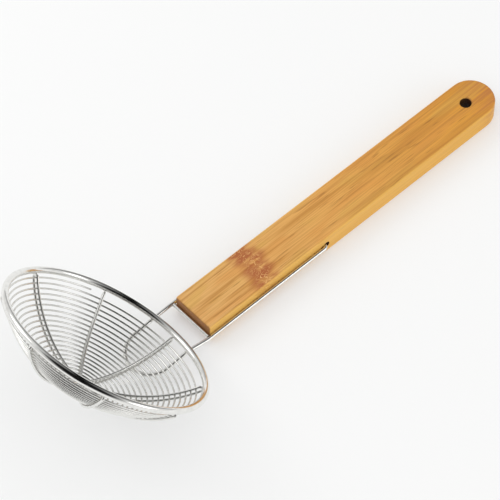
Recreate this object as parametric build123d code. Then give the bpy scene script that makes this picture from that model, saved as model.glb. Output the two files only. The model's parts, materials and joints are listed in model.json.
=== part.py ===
"""Long-handled spiral-wire strainer: a round wire basket welded to a wire frame, pinned into a flat bamboo handle.

Millimetres, +Z up. The strainer lies with the flat underside of its handle on the plane z = 0, and +X runs along
the handle towards its hanging hole. The origin is the middle of the bounding box's footprint.
"""
import os
from math import asin, cos, radians, sin, sqrt

from build123d import *

# ---- Bamboo handle
HANDLE_LENGTH = 238.0
HANDLE_WIDTH = 29.0
HANDLE_THICKNESS = 14.0
HANDLE_FRONT_CORNER_R = 1.2
HANDLE_EDGE_R = 1.4
HANG_HOLE_D = 7.0
HANG_HOLE_FROM_END = 19.0
HANG_HOLE_CHAMFER = 0.7

# ---- Frame wire: one wire bent to a U, its two ends hooked into a cross hole in the handle
FRAME_WIRE_D = 2.5
PIN_HOLE_X = 90.6
PIN_HOLE_D = 4.4
PIN_X = 89.7  # the hooked ends are drawn towards the front of their hole
PIN_DEPTH = 11.0
PIN_BEND_R = 2.4
HOOK_SLOT_WIDTH = 2.8
SIDE_CLEARANCE = 0.1
LEG_SPACING = 29.6
LEG_RISE = 1.5
LEG_DIP = 3.0
LEG_BEND_R = 12.0
LEG_BEND_AHEAD = 3.5  # the legs run straight past the cross bar before they turn towards the basket
LOOP_REACH = 30.5  # from under the rim's nearest point to the round end of the U

# ---- Cross bar, welded between the two legs against the front of the handle
CROSS_BAR_D = 2.4
CROSS_BAR_GAP = 0.1

# ---- Basket
RIM_OUTER_D = 127.0
RIM_WIRE_D = 4.0
RIM_TILT = 42.5
RIM_CENTRE_AHEAD = 61.0
COIL_WIRE_D = 1.1
COIL_TOP_R = 59.9
COIL_TOP_DROP = 3.9
COIL_DEPTH = 28.1
COIL_TURNS = 21
COIL_START_ANGLE = 50.0
COIL_END_R = 4.5
RIB_COUNT = 8
RIB_WIRE_D = 1.6
RIB_TURN = -2.5
RIB_END_R = 2.3

WELD_GAP = 0.02  # welded wires stop just short of each other, so that each stays a clean solid

# ---- Derived dimensions
LEG_Z = HANDLE_THICKNESS / 2
LEG_Y = LEG_SPACING / 2
SIDE_WIRE_Y = HANDLE_WIDTH / 2 + FRAME_WIRE_D / 2 + SIDE_CLEARANCE
RIM_R = (RIM_OUTER_D - RIM_WIRE_D) / 2
TILT = radians(RIM_TILT)
LEG_CROSSING_R = sqrt(RIM_R**2 - LEG_Y**2)  # reach of the rim, along the handle's line, where a leg passes under it
RIM_X = -RIM_CENTRE_AHEAD
RIM_Z = LEG_Z + LEG_RISE + (FRAME_WIRE_D + RIM_WIRE_D) / 2 + WELD_GAP + LEG_CROSSING_R * sin(TILT)
CAP_R = (COIL_TOP_R**2 + COIL_DEPTH**2) / (2 * COIL_DEPTH)  # the coil lies on a spherical cap of this radius
CAP_CENTRE_DROP = COIL_TOP_DROP + COIL_DEPTH - CAP_R
CAP_TOP_ANGLE = asin(COIL_TOP_R / CAP_R)
RIB_OFFSET = (COIL_WIRE_D + RIB_WIRE_D) / 2 + WELD_GAP

BASKET_PLANE = Plane(
    origin=(RIM_X, 0, RIM_Z),
    x_dir=(cos(TILT), 0, -sin(TILT)),
    z_dir=(sin(TILT), 0, cos(TILT)),
)


def cap_point(angle, offset=0.0):
    """Radius and height, in the basket's own frame, of a point on the cap at this angle from its lowest point."""
    reach = CAP_R + offset
    return reach * sin(angle), -(CAP_CENTRE_DROP + reach * cos(angle))


def bamboo_handle():
    """Flat bar with square front, half-round far end, hanging hole and the cross hole for the wire ends."""
    end_r = HANDLE_WIDTH / 2
    bar = Box(HANDLE_LENGTH - end_r, HANDLE_WIDTH, HANDLE_THICKNESS, align=(Align.MIN, Align.CENTER, Align.MIN))
    bar = fillet(bar.edges().filter_by(Axis.Z).group_by(Axis.X)[0], HANDLE_FRONT_CORNER_R)
    bar += Pos(HANDLE_LENGTH - end_r, 0, 0) * Cylinder(
        end_r, HANDLE_THICKNESS, align=(Align.CENTER, Align.CENTER, Align.MIN)
    )
    top_and_bottom = bar.faces().sort_by(Axis.Z)[0].edges() + bar.faces().sort_by(Axis.Z)[-1].edges()
    bar = fillet(top_and_bottom, HANDLE_EDGE_R)

    hole_x = HANDLE_LENGTH - HANG_HOLE_FROM_END
    hang_hole = Pos(hole_x, 0, HANDLE_THICKNESS / 2) * Cylinder(HANG_HOLE_D / 2, 2 * HANDLE_THICKNESS)
    mouth = Cone(
        HANG_HOLE_D / 2,
        HANG_HOLE_D / 2 + HANG_HOLE_CHAMFER,
        HANG_HOLE_CHAMFER,
        align=(Align.CENTER, Align.CENTER, Align.MAX),
    )
    bar -= hang_hole
    bar -= Pos(hole_x, 0, HANDLE_THICKNESS) * mouth
    bar -= Pos(hole_x, 0, 0) * Rot(X=180) * mouth

    bar -= Pos(PIN_HOLE_X, 0, LEG_Z) * Rot(X=90) * Cylinder(PIN_HOLE_D / 2, 2 * HANDLE_WIDTH)
    for side in (-1, 1):
        bar -= hook_slot(side)
    return bar


def hook_slot(side):
    """Cutter that widens the cross hole's mouth along the handle, to take the bend of the wire's hook."""
    depth = PIN_BEND_R + FRAME_WIRE_D / 2
    slot = extrude(SlotCenterToCenter(PIN_BEND_R, HOOK_SLOT_WIDTH), amount=depth)
    upright = Plane(
        origin=(PIN_X - PIN_BEND_R / 2, side * (SIDE_WIRE_Y - PIN_BEND_R), LEG_Z),
        x_dir=(1, 0, 0),
        z_dir=(0, side, 0),
    )
    return upright * slot


def frame_leg_points(side):
    """Corners of one leg of the frame wire, from its hooked end to the far end of the U below the basket."""
    crossing_x = RIM_X + LEG_CROSSING_R * cos(TILT)
    loop_end_x = RIM_X + RIM_R * cos(TILT) - LOOP_REACH
    return [
        (PIN_X, side * (HANDLE_WIDTH / 2 - PIN_DEPTH), LEG_Z),
        (PIN_X, side * SIDE_WIRE_Y, LEG_Z),
        (-LEG_BEND_AHEAD, side * SIDE_WIRE_Y, LEG_Z),
        (crossing_x, side * LEG_Y, LEG_Z + LEG_RISE),
        (loop_end_x, side * LEG_Y, LEG_Z + LEG_RISE - LEG_DIP),
    ]


def frame_wire():
    """U-shaped wire: hook, straight run along the handle, leg under the rim, and the rounded end of the U."""
    right = frame_leg_points(-1)
    left = frame_leg_points(1)
    loop_r = LEG_Y - WELD_GAP
    path = FilletPolyline(
        *right,
        *reversed(left),
        radius=[PIN_BEND_R, LEG_BEND_R, LEG_BEND_R, loop_r, loop_r, LEG_BEND_R, LEG_BEND_R, PIN_BEND_R],
    )
    section = Plane(origin=path @ 0, z_dir=path % 0) * Circle(FRAME_WIRE_D / 2)
    return sweep(section, path=path)


def cross_bar():
    """Short straight wire from leg to leg, just clear of the handle's front."""
    length = 2 * (SIDE_WIRE_Y - FRAME_WIRE_D / 2 - WELD_GAP)
    bar = Cylinder(CROSS_BAR_D / 2, length)
    return Pos(-(CROSS_BAR_GAP + CROSS_BAR_D / 2), 0, LEG_Z) * Rot(X=90) * bar


def rim_ring():
    """Thick wire ring round the mouth of the basket."""
    return BASKET_PLANE * Torus(RIM_R, RIM_WIRE_D / 2)


def coil_half_turn(start, end, start_side):
    """Half a turn of coil wire from one (radius, height) to the next, ending on the other side of the axis.

    Both ends run square to the plane through the axis, so that successive halves meet smoothly.
    """
    a = Vector(start_side * start[0], 0, start[1])
    b = Vector(-start_side * end[0], 0, end[1])
    middle = (a + b) * 0.5
    normal = (a - b).cross(Vector(0, start_side, 0)).normalized()
    section = Plane(origin=a, x_dir=(1, 0, 0), z_dir=(0, 1, 0)) * Circle(COIL_WIRE_D / 2)
    return revolve(section, axis=Axis(middle, normal), revolution_arc=180)


def spiral_mesh():
    """One long wire coiled from the mouth of the basket down to its lowest point."""
    halves = 2 * COIL_TURNS
    end_angle = asin(COIL_END_R / CAP_R)
    step = (end_angle - CAP_TOP_ANGLE) / halves
    stations = [cap_point(CAP_TOP_ANGLE + i * step) for i in range(halves + 1)]
    pieces = [coil_half_turn(stations[i], stations[i + 1], 1 - 2 * (i % 2)) for i in range(halves)]
    coil = Part() + pieces
    return BASKET_PLANE * Rot(Z=COIL_START_ANGLE) * coil


def rib_path():
    """Centre line of one hairpin in its own upright plane: inside the coil, over its top edge, and outside it."""
    tip_angle = RIB_END_R / CAP_R
    middle_angle = (tip_angle + CAP_TOP_ANGLE) / 2
    inner = [cap_point(angle, -RIB_OFFSET) for angle in (tip_angle, middle_angle, CAP_TOP_ANGLE)]
    outer = [cap_point(angle, RIB_OFFSET) for angle in (CAP_TOP_ANGLE, middle_angle, tip_angle)]
    bend_r, bend_z = cap_point(CAP_TOP_ANGLE)
    bend_top = (bend_r + RIB_OFFSET * cos(CAP_TOP_ANGLE), bend_z + RIB_OFFSET * sin(CAP_TOP_ANGLE))
    line = ThreePointArc(*inner) + ThreePointArc(inner[-1], bend_top, outer[0]) + ThreePointArc(*outer)
    return Plane.XZ * line


def rib_hairpin(index):
    """One folded wire that clasps the coil between its two sides, from the rim to the lowest point."""
    path = rib_path()
    section = Plane(origin=path @ 0, z_dir=path % 0) * Circle(RIB_WIRE_D / 2)
    hairpin = sweep(section, path=path)
    return BASKET_PLANE * Rot(Z=RIB_TURN + index * 360 / RIB_COUNT) * hairpin


def strainer():
    """Every separate piece by name, in the part's own frame."""
    pieces = {
        "bamboo_handle": bamboo_handle(),
        "frame_wire": frame_wire(),
        "cross_bar": cross_bar(),
        "rim_ring": rim_ring(),
        "spiral_mesh": spiral_mesh(),
    }
    for index in range(RIB_COUNT):
        pieces[f"rib_hairpin_{index + 1}"] = rib_hairpin(index)
    boxes = [piece.bounding_box() for piece in pieces.values()]
    centre_x = (min(box.min.X for box in boxes) + max(box.max.X for box in boxes)) / 2
    return {name: Pos(-centre_x, 0, 0) * piece for name, piece in pieces.items()}


os.makedirs("parts", exist_ok=True)
for name, piece in strainer().items():
    export_step(piece, f"parts/{name}.step")
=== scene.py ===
"""Looks, floor, lights and camera for the long-handled wire strainer.

Metres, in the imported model's own frame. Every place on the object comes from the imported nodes, which keep
their shapes and get only materials here.
"""
import json
from math import cos, radians, sin

import bmesh
import bpy
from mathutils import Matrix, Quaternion, Vector

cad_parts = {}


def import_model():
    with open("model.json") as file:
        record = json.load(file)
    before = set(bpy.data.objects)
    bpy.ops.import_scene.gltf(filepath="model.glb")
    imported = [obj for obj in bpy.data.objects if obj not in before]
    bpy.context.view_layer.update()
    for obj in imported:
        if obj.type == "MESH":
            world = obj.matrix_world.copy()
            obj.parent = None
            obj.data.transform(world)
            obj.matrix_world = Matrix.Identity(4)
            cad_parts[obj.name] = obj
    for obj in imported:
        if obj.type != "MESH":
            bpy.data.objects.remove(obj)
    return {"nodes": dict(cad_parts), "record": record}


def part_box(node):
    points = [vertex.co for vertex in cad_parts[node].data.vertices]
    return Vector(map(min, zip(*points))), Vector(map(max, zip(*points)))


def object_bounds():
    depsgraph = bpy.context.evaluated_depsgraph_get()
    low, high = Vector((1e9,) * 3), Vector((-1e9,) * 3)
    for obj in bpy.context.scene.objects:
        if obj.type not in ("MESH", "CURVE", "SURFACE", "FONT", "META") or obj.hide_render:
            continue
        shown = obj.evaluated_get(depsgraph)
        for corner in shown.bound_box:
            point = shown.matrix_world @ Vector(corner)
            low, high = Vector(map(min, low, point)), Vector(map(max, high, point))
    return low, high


MM = 0.001

# ---- Camera
CAMERA_AZIMUTH = -131.7
CAMERA_ELEVATION = 55.6
CAMERA_ROLL = -1.1
CAMERA_DISTANCE = 1.4416
CAMERA_LENS = 180.0
CAMERA_SENSOR = 36.0
# The view's middle meets the handle's mid-height plane this far behind its front and this far aside
AIM_BEHIND_FRONT = 55.85 * MM
AIM_ASIDE = 12.9 * MM

# ---- Floor
FLOOR_RADIUS = 3.0
FLOOR_SEGMENTS = 96
FLOOR_COLOUR = (0.62, 0.623, 0.62)
FLOOR_TOOTH_SCALE = 900.0  # per metre
FLOOR_TOOTH_SHADE = 0.985
FLOOR_ROUGHNESS = 0.75
FLOOR_SPECULAR = 0.2
FLOOR_GLOW = 0.3  # the paper lies on a light table, which lifts its shadows

# ---- Lights
SOFTBOXES = (
    # name, azimuth, elevation, distance, width, height, watts
    ("softbox_left", 115.0, 36.0, 1.1, 0.7, 0.5, 1.8),
    ("softbox_right", -66.0, 20.0, 1.1, 0.7, 0.4, 1.2),
)
TENT_LIGHT = 0.95  # even light from all round

# ---- The tent as the steel mirrors it
TENT_AXIS = (110.6, 17.9)  # azimuth and elevation of the line from the tent's left wall to its right wall
TENT_WALL = 0.80
TENT_SHADE = 0.16  # the walls fall to this next to the tent's dark gap
TENT_GAP = 0.01
# Cosines of the angle from the axis
GAP_EDGE = 0.06  # the gap is fully dark up to here
WALL_FROM = 0.13  # the wall begins here, in shade
WALL_FULL = 0.75  # the wall is at its brightest from here
# Cosines of the angle from the tent's front, which is open to a dark room
OPENING_EDGE = 0.58
OPENING_DARK = 0.88

# ---- Bamboo
BAMBOO_FRONT = (0.76, 0.435, 0.150)
BAMBOO_BACK = (0.72, 0.315, 0.028)
BAMBOO_GRAIN = {
    # noise fields: scale along the handle and across it (per metre), shift, detail
    "fibres": (24, 1500, (0, 0, 0), 3.0),
    "bundles": (14, 640, (3, 1, 7), 2.0),
    "streaks": (9, 190, (1, 5, 2), 1.0),
    "patches": (28, 120, (5, 2, 3), 1.0),
    "flecks": (60, 900, (9, 4, 4), 1.0),
}
BAMBOO_STAINS = (
    # noise field, its value where the stain starts and where it is full, the full stain's strength, colour
    ("patches", 0.50, 0.68, 0.42, (0.66, 0.27, 0.055)),
    ("patches", 0.46, 0.34, 0.40, (0.66, 0.40, 0.085)),
    ("fibres", 0.40, 0.66, 0.42, (0.44, 0.20, 0.045)),
    ("bundles", 0.50, 0.68, 0.52, (0.42, 0.17, 0.03)),
    ("streaks", 0.52, 0.68, 0.42, (0.48, 0.20, 0.03)),
    ("flecks", 0.63, 0.72, 0.50, (0.28, 0.11, 0.02)),
)
BAMBOO_ROUGHNESS = (0.42, 0.56)
BAMBOO_SPECULAR = 0.25
BAMBOO_BUMP = 0.3
BAMBOO_RELIEF = 0.15 * MM

# ---- Bamboo's sides, far end and end grain; the sides are partly painted light, the end faces partly painted shade
# The long sides' paler, yellower colour is partly their own tint and partly painted light
SIDE_TINT_AND_LIGHT_COLOUR = (0.86, 0.50, 0.10)
SIDE_TINT_AND_LIGHT_STRENGTH = 0.6
TOASTED_COLOUR = (0.50, 0.19, 0.05)
TOASTED_STRENGTH = (0.25, 0.85)  # between the bundles of fibres, and on them
TOASTED_LENGTH = 26.0 * MM
# The end faces' dark colour is partly the end grain's own and partly painted shade
END_GRAIN_AND_SHADE_COLOUR = (0.26, 0.095, 0.032)
END_GRAIN_AND_SHADE_STRENGTH = 0.8

# ---- Bamboo's node
NODE_FROM_FRONT = 46.5 * MM
NODE_HALF_WIDTH = 12.5 * MM
NODE_COLOUR = (0.40, 0.115, 0.035)
NODE_STRENGTH = (0.25, 0.95)  # between the node's patches, and on them
NODE_PATCH_SCALE = (90, 220, 220)  # per metre
NODE_PATCH_SHIFT = (2, 2, 8)
NODE_WANDER = 6 * MM  # the band strays this far from its straight line across the handle
NODE_WANDER_SCALE = (0, 130, 130)
NODE_CURL_COLOUR = (0.80, 0.46, 0.17)
NODE_CURL_SCALE = (230, 400, 400)
NODE_CURL_DISTORTION = 1.6
NODE_CURL_WIDTH = 0.05  # as a difference in the curls' noise

# ---- Bamboo's drilled holes, with painted shade in them
# Painted shade for the drilled holes, near-black
HOLE_SHADE_COLOUR = (0.035, 0.010, 0.005)
HOLE_SHADE_STRENGTH = 0.93
HOLE_SHADE_RING = 0.25 * MM  # painted shade inside the drilled holes and this far round their mouths
PIN_HOLE_R = 2.2 * MM
PIN_HOLE_FROM_WIRE_END = 0.35 * MM  # from the frame wire's furthest point back to the pin hole's middle

# ---- Steel
STEEL_COLOUR = (0.83, 0.825, 0.80)
POLISHED_COLOUR = (0.86, 0.855, 0.83)
STEEL_WEAR = 0.06  # the most roughness that drawing lines, or handling marks, add
STEEL_MARK_SCALE = 260.0  # per metre
STEEL_MARK_SHADE = 0.86
STEEL_MARK_STRENGTH = 0.7
STEEL_BUMP = 0.06
STEEL_RELIEF = 0.02 * MM
DRAWN_GRAIN = (60, 5200, 5200)  # lines along the handle
FINE_GRAIN = (2600, 2600, 2600)
STEEL_LOOKS = {
    # slot: grain, colour, roughness
    "frame_steel": (DRAWN_GRAIN, STEEL_COLOUR, 0.14),
    "rim_steel": (FINE_GRAIN, POLISHED_COLOUR, 0.07),
    "mesh_steel": (FINE_GRAIN, STEEL_COLOUR, 0.18),
    "rib_steel": (FINE_GRAIN, STEEL_COLOUR, 0.16),
}


def direction(azimuth, elevation):
    """Unit vector from the object towards this azimuth (from +X) and elevation, in degrees."""
    a = radians(azimuth)
    e = radians(elevation)
    return Vector((cos(a) * cos(e), sin(a) * cos(e), sin(e)))


def opaque(colour, shade=1.0):
    """The colour, darkened by the shade, with its alpha."""
    return tuple(shade * c for c in colour) + (1,)


# ---------------------------------------------------------------- node helpers
def add_node(tree, kind, inputs=None, **settings):
    """A shader node with its settings, its constant inputs, and links for inputs that are sockets."""
    node = tree.nodes.new(kind)
    for name, value in settings.items():
        setattr(node, name, value)
    for name, value in (inputs or {}).items():
        if isinstance(value, bpy.types.NodeSocket):
            tree.links.new(value, node.inputs[name])
        else:
            node.inputs[name].default_value = value
    return node


def calculate(tree, operation, a, b=0.0):
    return add_node(tree, "ShaderNodeMath", {0: a, 1: b}, operation=operation).outputs[0]


def vector_math(tree, operation, a, b=(0, 0, 0)):
    return add_node(tree, "ShaderNodeVectorMath", {0: a, 1: b}, operation=operation).outputs


def map_range(tree, value, from_min, from_max, to_min=0.0, to_max=1.0, smooth=True):
    """The value mapped from one range to another, held at the ends."""
    inputs = {
        "Value": value,
        "From Min": from_min,
        "From Max": from_max,
        "To Min": to_min,
        "To Max": to_max,
    }
    kind = "SMOOTHSTEP" if smooth else "LINEAR"
    return add_node(tree, "ShaderNodeMapRange", inputs, interpolation_type=kind).outputs["Result"]


def mix_colour(tree, factor, a, b):
    return add_node(tree, "ShaderNodeMix", {0: factor, 6: a, 7: b}, data_type="RGBA").outputs[2]


def noise(tree, vector, scale=1.0, detail=2.0, distortion=0.0):
    inputs = {"Vector": vector, "Scale": scale, "Detail": detail, "Distortion": distortion}
    return add_node(tree, "ShaderNodeTexNoise", inputs).outputs["Fac"]


def stretched(tree, vector, scale, shift=(0, 0, 0)):
    inputs = {"Vector": vector, "Scale": scale, "Location": shift}
    return add_node(tree, "ShaderNodeMapping", inputs).outputs[0]


def object_position(tree):
    return add_node(tree, "ShaderNodeTexCoord").outputs["Object"]


def bump(tree, surface, height, strength, distance):
    """Fine relief on the surface from a height field."""
    node = add_node(tree, "ShaderNodeBump", {"Height": height, "Strength": strength, "Distance": distance})
    tree.links.new(node.outputs[0], surface.inputs["Normal"])


def new_material(name):
    """A material with its node tree and its Principled surface, for the caller to fill in."""
    material = bpy.data.materials.new(name)
    material.use_nodes = True
    return material, material.node_tree, material.node_tree.nodes["Principled BSDF"]


# ---------------------------------------------------------------- materials
def bamboo_material(handle_box, hang_hole, pin_hole_x):
    """Oiled bamboo with its grain along +X, a reddish node across it, dark end grain that is partly painted
    shade, and painted shade in its drilled holes.
    """
    low, high = handle_box
    material, tree, surface = new_material("oiled_bamboo")
    position = object_position(tree)
    along = add_node(tree, "ShaderNodeSeparateXYZ", {0: position}).outputs["X"]
    grain = {
        name: noise(tree, stretched(tree, position, (along_scale, across, across), shift), detail=detail)
        for name, (along_scale, across, shift, detail) in BAMBOO_GRAIN.items()
    }

    from_front = map_range(tree, along, low.x, high.x, smooth=False)
    body = mix_colour(tree, from_front, opaque(BAMBOO_FRONT), opaque(BAMBOO_BACK))
    for name, start, full, strength, colour in BAMBOO_STAINS:
        stain = map_range(tree, grain[name], start, full, 0.0, strength)
        body = mix_colour(tree, stain, body, opaque(colour))
    body = bamboo_node(tree, body, position, along, low.x + NODE_FROM_FRONT)
    body = bamboo_sides_and_ends(tree, body, along, grain["bundles"], high.x)
    hang_hole_r = hang_hole["dims"]["r_mm"] * MM
    # Painted shade in the hanging hole and in the pin hole
    body = shaded_hole(tree, body, position, hang_hole["pos_m"], (0, 0, 1), hang_hole_r)
    pin_hole = (pin_hole_x, 0.0, (low.z + high.z) / 2)
    body = shaded_hole(tree, body, position, pin_hole, (0, 1, 0), PIN_HOLE_R)

    tree.links.new(body, surface.inputs["Base Color"])
    roughness = map_range(tree, grain["fibres"], 0.3, 0.7, *BAMBOO_ROUGHNESS)
    tree.links.new(roughness, surface.inputs["Roughness"])
    relief = calculate(tree, "ADD", grain["fibres"], grain["bundles"])
    bump(tree, surface, relief, BAMBOO_BUMP, BAMBOO_RELIEF)
    surface.inputs["Specular IOR Level"].default_value = BAMBOO_SPECULAR
    return material


def bamboo_sides_and_ends(tree, body, along, bundles, far_end_x):
    """Paler long sides, partly painted light; a browner far end; and dark end grain, partly painted shade, on
    the faces that look along the handle.
    """
    normal = add_node(tree, "ShaderNodeNewGeometry").outputs["Normal"]
    facing = add_node(tree, "ShaderNodeSeparateXYZ", {0: normal})
    facing_x = calculate(tree, "ABSOLUTE", facing.outputs["X"])
    facing_y = calculate(tree, "ABSOLUTE", facing.outputs["Y"])
    # Faces that look along the handle: the end grain's own darkness, partly painted shade
    end_grain_and_shade = map_range(tree, facing_x, 0.45, 0.95, 0.0, END_GRAIN_AND_SHADE_STRENGTH)
    # Long sides: their own tint, partly painted light
    side = map_range(tree, facing_y, 0.35, 0.9, 0.0, SIDE_TINT_AND_LIGHT_STRENGTH)
    far_end = map_range(tree, along, far_end_x - TOASTED_LENGTH, far_end_x)
    toasted = calculate(tree, "MULTIPLY", far_end, map_range(tree, bundles, 0.40, 0.60, *TOASTED_STRENGTH))
    body = mix_colour(tree, side, body, opaque(SIDE_TINT_AND_LIGHT_COLOUR))
    body = mix_colour(tree, toasted, body, opaque(TOASTED_COLOUR))
    return mix_colour(tree, end_grain_and_shade, body, opaque(END_GRAIN_AND_SHADE_COLOUR))


def shaded_hole(tree, body, position, centre, axis, radius):
    """Painted shade: dark brown inside a drilled hole along the axis, fading out just past its mouth."""
    offset = vector_math(tree, "SUBTRACT", position, centre)[0]
    flat = vector_math(tree, "CROSS_PRODUCT", offset, axis)[0]
    distance = vector_math(tree, "LENGTH", flat)["Value"]
    hole_shade = map_range(tree, distance, radius + HOLE_SHADE_RING, radius, 0.0, HOLE_SHADE_STRENGTH)
    return mix_colour(tree, hole_shade, body, opaque(HOLE_SHADE_COLOUR))


def bamboo_node(tree, body, position, along, centre):
    """The bamboo's node: a broken reddish-brown band across the handle, with pale curled fibres in it."""
    wander = noise(tree, stretched(tree, position, NODE_WANDER_SCALE))
    bent = map_range(tree, wander, 0, 1, -NODE_WANDER, NODE_WANDER)
    shifted = calculate(tree, "ADD", calculate(tree, "SUBTRACT", along, centre), bent)
    offset = calculate(tree, "ABSOLUTE", shifted)
    band = map_range(tree, offset, NODE_HALF_WIDTH, 0.25 * NODE_HALF_WIDTH)
    patches = noise(tree, stretched(tree, position, NODE_PATCH_SCALE, NODE_PATCH_SHIFT))
    dark = calculate(tree, "MULTIPLY", band, map_range(tree, patches, 0.32, 0.55, *NODE_STRENGTH))
    body = mix_colour(tree, dark, body, opaque(NODE_COLOUR))

    stretch = stretched(tree, position, NODE_CURL_SCALE)
    curls = noise(tree, stretch, detail=0.0, distortion=NODE_CURL_DISTORTION)
    off_middle = calculate(tree, "ABSOLUTE", calculate(tree, "SUBTRACT", curls, 0.5))
    line = map_range(tree, off_middle, NODE_CURL_WIDTH, 0.0)
    core = map_range(tree, offset, 0.6 * NODE_HALF_WIDTH, 0.1 * NODE_HALF_WIDTH)
    return mix_colour(tree, calculate(tree, "MULTIPLY", line, core), body, opaque(NODE_CURL_COLOUR))


def steel_material(name, grain, colour, roughness):
    """Bright stainless steel with fine drawing lines along the grain and faint handling marks."""
    material, tree, surface = new_material(name)
    position = object_position(tree)
    lines = noise(tree, stretched(tree, position, grain))
    marks = noise(tree, position, STEEL_MARK_SCALE, 3.0)
    drawn = map_range(tree, lines, 0.3, 0.7, 0.0, STEEL_WEAR)
    handled = map_range(tree, marks, 0.45, 0.7, 0.0, STEEL_WEAR)
    dulled = calculate(tree, "ADD", drawn, handled)
    tree.links.new(calculate(tree, "ADD", dulled, roughness), surface.inputs["Roughness"])
    marked = map_range(tree, marks, 0.4, 0.75, 0.0, STEEL_MARK_STRENGTH)
    tint = mix_colour(tree, marked, opaque(colour), opaque(colour, STEEL_MARK_SHADE))
    tree.links.new(tint, surface.inputs["Base Color"])
    bump(tree, surface, lines, STEEL_BUMP, STEEL_RELIEF)
    surface.inputs["Metallic"].default_value = 1.0
    return material


def floor_material():
    """Matt white studio paper with a very faint tooth, lit a little from below."""
    material, tree, surface = new_material("studio_paper")
    tooth = noise(tree, object_position(tree), FLOOR_TOOTH_SCALE)
    paper = mix_colour(tree, tooth, opaque(FLOOR_COLOUR), opaque(FLOOR_COLOUR, FLOOR_TOOTH_SHADE))
    tree.links.new(paper, surface.inputs["Base Color"])
    surface.inputs["Roughness"].default_value = FLOOR_ROUGHNESS
    surface.inputs["Specular IOR Level"].default_value = FLOOR_SPECULAR
    surface.inputs["Emission Color"].default_value = (1, 1, 1, 1)
    surface.inputs["Emission Strength"].default_value = FLOOR_GLOW
    return material


# ---------------------------------------------------------------- studio
def paper_floor(height):
    """Large round sheet of studio paper under the object."""
    mesh = bpy.data.meshes.new("studio_floor")
    shape = bmesh.new()
    bmesh.ops.create_circle(shape, cap_ends=True, segments=FLOOR_SEGMENTS, radius=FLOOR_RADIUS)
    shape.to_mesh(mesh)
    shape.free()
    floor = bpy.data.objects.new("studio_floor", mesh)
    floor.location.z = height
    mesh.materials.append(floor_material())
    bpy.context.scene.collection.objects.link(floor)


def softbox(name, azimuth, elevation, distance, width, height, watts, centre):
    """Rectangular area light aimed at the object."""
    light = bpy.data.lights.new(name, "AREA")
    light.shape = "RECTANGLE"
    light.size = width
    light.size_y = height
    light.energy = watts
    lamp = bpy.data.objects.new(name, light)
    towards = direction(azimuth, elevation)
    lamp.location = centre + distance * towards
    lamp.rotation_euler = towards.to_track_quat("Z", "Y").to_euler()
    lamp.visible_camera = False
    bpy.context.scene.collection.objects.link(lamp)


def light_tent():
    """Even soft light all round.

    Mirrored in the steel, the tent has a bright wall on either side, a dark gap between them, and an open
    front through which a dark room shows.
    """
    world = bpy.data.worlds.new("light_tent")
    world.use_nodes = True
    bpy.context.scene.world = world
    tree = world.node_tree
    towards = add_node(tree, "ShaderNodeTexCoord").outputs["Generated"]
    across = vector_math(tree, "DOT_PRODUCT", towards, direction(*TENT_AXIS))["Value"]
    aside = calculate(tree, "ABSOLUTE", across)
    wall = map_range(tree, aside, WALL_FROM, WALL_FULL, TENT_SHADE, TENT_WALL)
    gap = map_range(tree, aside, GAP_EDGE, WALL_FROM, TENT_GAP, 1.0)
    front = direction(CAMERA_AZIMUTH, CAMERA_ELEVATION)
    front_on = vector_math(tree, "DOT_PRODUCT", towards, front)["Value"]
    opening = map_range(tree, front_on, OPENING_EDGE, OPENING_DARK, 1.0, TENT_GAP)
    mirrored = calculate(tree, "MULTIPLY", calculate(tree, "MULTIPLY", wall, gap), opening)
    glossy_ray = add_node(tree, "ShaderNodeLightPath").outputs["Is Glossy Ray"]
    strength = add_node(tree, "ShaderNodeMix", {0: glossy_ray, 2: TENT_LIGHT, 3: mirrored})
    background = tree.nodes["Background"]
    background.inputs["Color"].default_value = (1, 1, 1, 1)
    tree.links.new(strength.outputs[0], background.inputs["Strength"])


def camera(aim):
    """Long lens looking down from the basket's end of the object, turned a little about its own axis."""
    data = bpy.data.cameras.new("camera")
    data.lens = CAMERA_LENS
    data.sensor_width = CAMERA_SENSOR
    viewer = bpy.data.objects.new("camera", data)
    towards = direction(CAMERA_AZIMUTH, CAMERA_ELEVATION)
    upright = towards.to_track_quat("Z", "Y")
    viewer.rotation_mode = "QUATERNION"
    viewer.rotation_quaternion = upright @ Quaternion((0, 0, 1), radians(CAMERA_ROLL))
    viewer.location = aim + CAMERA_DISTANCE * towards
    bpy.context.scene.collection.objects.link(viewer)
    bpy.context.scene.camera = viewer


def dress(frame):
    """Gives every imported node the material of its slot."""
    hang_hole = next(mount for mount in frame["record"]["mounts"] if mount["name"] == "hanging_hole")
    pin_hole_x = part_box("frame_wire")[1].x - PIN_HOLE_FROM_WIRE_END
    looks = {"bamboo": bamboo_material(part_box("bamboo_handle"), hang_hole, pin_hole_x)}
    for slot, (grain, colour, roughness) in STEEL_LOOKS.items():
        looks[slot] = steel_material(f"{slot}_look", grain, colour, roughness)
    slots = {part["node"]: part["material_slot"] for part in frame["record"]["subparts"]}
    for name, node in frame["nodes"].items():
        for place in node.material_slots:
            place.material = looks[slots[name]]


def main():
    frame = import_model()
    cad_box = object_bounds()
    low, high = cad_box
    handle_low, handle_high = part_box("bamboo_handle")
    dress(frame)
    paper_floor(low.z)
    centre = (low + high) / 2
    for box in SOFTBOXES:
        softbox(*box, centre)
    light_tent()
    camera(Vector((handle_low.x + AIM_BEHIND_FRONT, AIM_ASIDE, (handle_low.z + handle_high.z) / 2)))
    bpy.context.scene.view_settings.view_transform = "Standard"


main()
